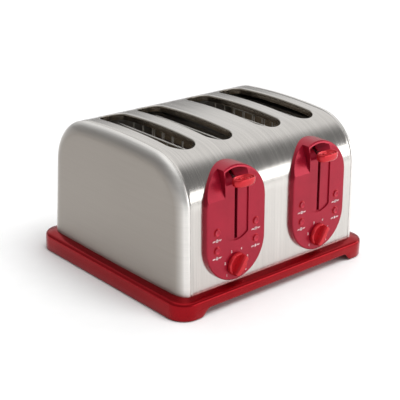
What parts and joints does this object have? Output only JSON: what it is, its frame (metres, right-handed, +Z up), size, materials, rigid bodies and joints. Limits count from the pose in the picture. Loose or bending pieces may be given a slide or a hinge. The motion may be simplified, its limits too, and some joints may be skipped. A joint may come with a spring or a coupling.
{
  "type": "pop up toaster",
  "caption": "Wide pop up toaster with brushed steel shell, red base, long bread slots, twin sliding levers, push buttons and browning dials.",
  "frame": {"origin": "centre of the footprint, on the surface that the toaster stands on", "axes": "+X to the right along the width, seen from the front; +Y to the rear, with the levers and dials at -Y; +Z up"},
  "size_m": [0.314, 0.286, 0.1826],
  "materials": {
    "red_plastic": "glossy metallic red moulding",
    "rubber": "matt black",
    "brushed_steel": "fine brushed grain",
    "cap_steel": "satin warm grey",
    "galvanised": "plain zinc-coated sheet",
    "aluminium_shield": "bright reflector sheet",
    "mica": "flaky mica card",
    "nichrome": "oxidised resistance ribbon",
    "bright_wire": "bright nickel-plated wire",
    "spring_steel": "bright spring wire",
    "panel_red": "satin metallic red moulding",
    "knob_red": "glossy red moulding",
    "board_green": "solder-masked board",
    "coil_brown": "varnished coil",
    "latch_iron": "plain iron",
    "black_plastic": "black nylon",
    "zinc_screw": "zinc-plated screw",
    "dial_red": "glossy red moulding with a raised grip",
    "button_red": "translucent red with a bright ring"
  },
  "bodies": {
    "housing": {"base_tray": "red_plastic", "rubber_feet": "rubber", "wrap_shell": "brushed_steel", "left_end_cap": "cap_steel", "right_end_cap": "cap_steel", "front_frame": "galvanised", "rear_frame": "galvanised", "left_outer_shield": "aluminium_shield", "right_outer_shield": "aluminium_shield", "centre_shield": "aluminium_shield", "heater_card_1": "mica", "heater_card_2": "mica", "heater_card_3": "mica", "heater_card_4": "mica", "heater_card_5": "mica", "heater_card_6": "mica", "heater_wire_left": "nichrome", "heater_wire_right": "nichrome", "guide_rod_left": "bright_wire", "guide_rod_right": "bright_wire", "return_spring_left": "spring_steel", "return_spring_right": "spring_steel", "control_panel_left": "panel_red", "control_panel_right": "panel_red", "circuit_board_left": "board_green", "circuit_board_right": "board_green", "latch_magnet_left": "coil_brown", "latch_magnet_right": "coil_brown", "cord_gland": "black_plastic", "base_screws": "zinc_screw"},
    "lift_left": {"carriage_plate_left": "galvanised", "bread_rack_1": "bright_wire", "bread_rack_2": "bright_wire", "lever_knob_left": "knob_red", "latch_plate_left": "latch_iron"},
    "lift_right": {"carriage_plate_right": "galvanised", "bread_rack_3": "bright_wire", "bread_rack_4": "bright_wire", "lever_knob_right": "knob_red", "latch_plate_right": "latch_iron"},
    "guard_1_swing": {"guard_1": "bright_wire"},
    "guard_2_swing": {"guard_2": "bright_wire"},
    "guard_3_swing": {"guard_3": "bright_wire"},
    "guard_4_swing": {"guard_4": "bright_wire"},
    "guard_5_swing": {"guard_5": "bright_wire"},
    "guard_6_swing": {"guard_6": "bright_wire"},
    "guard_7_swing": {"guard_7": "bright_wire"},
    "guard_8_swing": {"guard_8": "bright_wire"},
    "dial_left_knob": {"dial_left": "dial_red"},
    "push_left_1": {"button_left_1": "button_red"},
    "push_left_2": {"button_left_2": "button_red"},
    "push_left_3": {"button_left_3": "button_red"},
    "push_left_4": {"button_left_4": "button_red"},
    "tray_left": {"crumb_tray_left": "galvanised"},
    "dial_right_knob": {"dial_right": "dial_red"},
    "push_right_1": {"button_right_1": "button_red"},
    "push_right_2": {"button_right_2": "button_red"},
    "push_right_3": {"button_right_3": "button_red"},
    "push_right_4": {"button_right_4": "button_red"},
    "tray_right": {"crumb_tray_right": "galvanised"}
  },
  "joints": [
    {"name": "lever_left", "type": "slide", "parent": "housing", "child": "lift_left", "axis": [0, 0, -1], "range_m": [0, 0.062], "stiffness_N_per_m": 130, "springref_m": -0.04, "deforming": ["return_spring_left"]},
    {"name": "lever_right", "type": "slide", "parent": "housing", "child": "lift_right", "axis": [0, 0, -1], "range_m": [0, 0.062], "stiffness_N_per_m": 130, "springref_m": -0.04, "deforming": ["return_spring_right"]},
    {"name": "guard_1_tilt", "type": "hinge", "parent": "housing", "child": "guard_1_swing", "pos_m": [-0.114, 0, 0.04], "axis": [0, 1, 0], "range_deg": [0, 4.1]},
    {"name": "guard_2_tilt", "type": "hinge", "parent": "housing", "child": "guard_2_swing", "pos_m": [-0.08, 0, 0.04], "axis": [0, -1, 0], "range_deg": [0, 4.1]},
    {"name": "guard_3_tilt", "type": "hinge", "parent": "housing", "child": "guard_3_swing", "pos_m": [-0.057, 0, 0.04], "axis": [0, 1, 0], "range_deg": [0, 4.1]},
    {"name": "guard_4_tilt", "type": "hinge", "parent": "housing", "child": "guard_4_swing", "pos_m": [-0.023, 0, 0.04], "axis": [0, -1, 0], "range_deg": [0, 4.1]},
    {"name": "guard_5_tilt", "type": "hinge", "parent": "housing", "child": "guard_5_swing", "pos_m": [0.023, 0, 0.04], "axis": [0, 1, 0], "range_deg": [0, 4.1]},
    {"name": "guard_6_tilt", "type": "hinge", "parent": "housing", "child": "guard_6_swing", "pos_m": [0.057, 0, 0.04], "axis": [0, -1, 0], "range_deg": [0, 4.1]},
    {"name": "guard_7_tilt", "type": "hinge", "parent": "housing", "child": "guard_7_swing", "pos_m": [0.08, 0, 0.04], "axis": [0, 1, 0], "range_deg": [0, 4.1]},
    {"name": "guard_8_tilt", "type": "hinge", "parent": "housing", "child": "guard_8_swing", "pos_m": [0.114, 0, 0.04], "axis": [0, -1, 0], "range_deg": [0, 4.1]},
    {"name": "dial_left_turn", "type": "hinge", "parent": "housing", "child": "dial_left_knob", "pos_m": [-0.0685, -0.12987, 0.048], "axis": [0, -0.9988, 0.0481], "range_deg": [-98, 172]},
    {"name": "button_left_1_press", "type": "slide", "parent": "housing", "child": "push_left_1", "axis": [0, 0.9988, -0.0481], "range_m": [0, 0.0012], "stiffness_N_per_m": 400, "springref_m": -0.0005},
    {"name": "button_left_2_press", "type": "slide", "parent": "housing", "child": "push_left_2", "axis": [0, 0.9988, -0.0481], "range_m": [0, 0.0012], "stiffness_N_per_m": 400, "springref_m": -0.0005},
    {"name": "button_left_3_press", "type": "slide", "parent": "housing", "child": "push_left_3", "axis": [0, 0.9988, -0.0481], "range_m": [0, 0.0012], "stiffness_N_per_m": 400, "springref_m": -0.0005},
    {"name": "button_left_4_press", "type": "slide", "parent": "housing", "child": "push_left_4", "axis": [0, 0.9988, -0.0481], "range_m": [0, 0.0012], "stiffness_N_per_m": 400, "springref_m": -0.0005},
    {"name": "crumb_tray_left_pull", "type": "slide", "parent": "housing", "child": "tray_left", "axis": [0, 1, 0], "range_m": [0, 0.25]},
    {"name": "dial_right_turn", "type": "hinge", "parent": "housing", "child": "dial_right_knob", "pos_m": [0.0685, -0.12987, 0.048], "axis": [0, -0.9988, 0.0481], "range_deg": [-98, 172]},
    {"name": "button_right_1_press", "type": "slide", "parent": "housing", "child": "push_right_1", "axis": [0, 0.9988, -0.0481], "range_m": [0, 0.0012], "stiffness_N_per_m": 400, "springref_m": -0.0005},
    {"name": "button_right_2_press", "type": "slide", "parent": "housing", "child": "push_right_2", "axis": [0, 0.9988, -0.0481], "range_m": [0, 0.0012], "stiffness_N_per_m": 400, "springref_m": -0.0005},
    {"name": "button_right_3_press", "type": "slide", "parent": "housing", "child": "push_right_3", "axis": [0, 0.9988, -0.0481], "range_m": [0, 0.0012], "stiffness_N_per_m": 400, "springref_m": -0.0005},
    {"name": "button_right_4_press", "type": "slide", "parent": "housing", "child": "push_right_4", "axis": [0, 0.9988, -0.0481], "range_m": [0, 0.0012], "stiffness_N_per_m": 400, "springref_m": -0.0005},
    {"name": "crumb_tray_right_pull", "type": "slide", "parent": "housing", "child": "tray_right", "axis": [0, 1, 0], "range_m": [0, 0.25]}
  ],
  "couplings": [
    {"joint": "guard_1_tilt", "follows": "lever_left", "rad_per_m": 1.126},
    {"joint": "guard_2_tilt", "follows": "lever_left", "rad_per_m": 1.126},
    {"joint": "guard_3_tilt", "follows": "lever_left", "rad_per_m": 1.126},
    {"joint": "guard_4_tilt", "follows": "lever_left", "rad_per_m": 1.126},
    {"joint": "guard_5_tilt", "follows": "lever_right", "rad_per_m": 1.126},
    {"joint": "guard_6_tilt", "follows": "lever_right", "rad_per_m": 1.126},
    {"joint": "guard_7_tilt", "follows": "lever_right", "rad_per_m": 1.126},
    {"joint": "guard_8_tilt", "follows": "lever_right", "rad_per_m": 1.126}
  ]
}
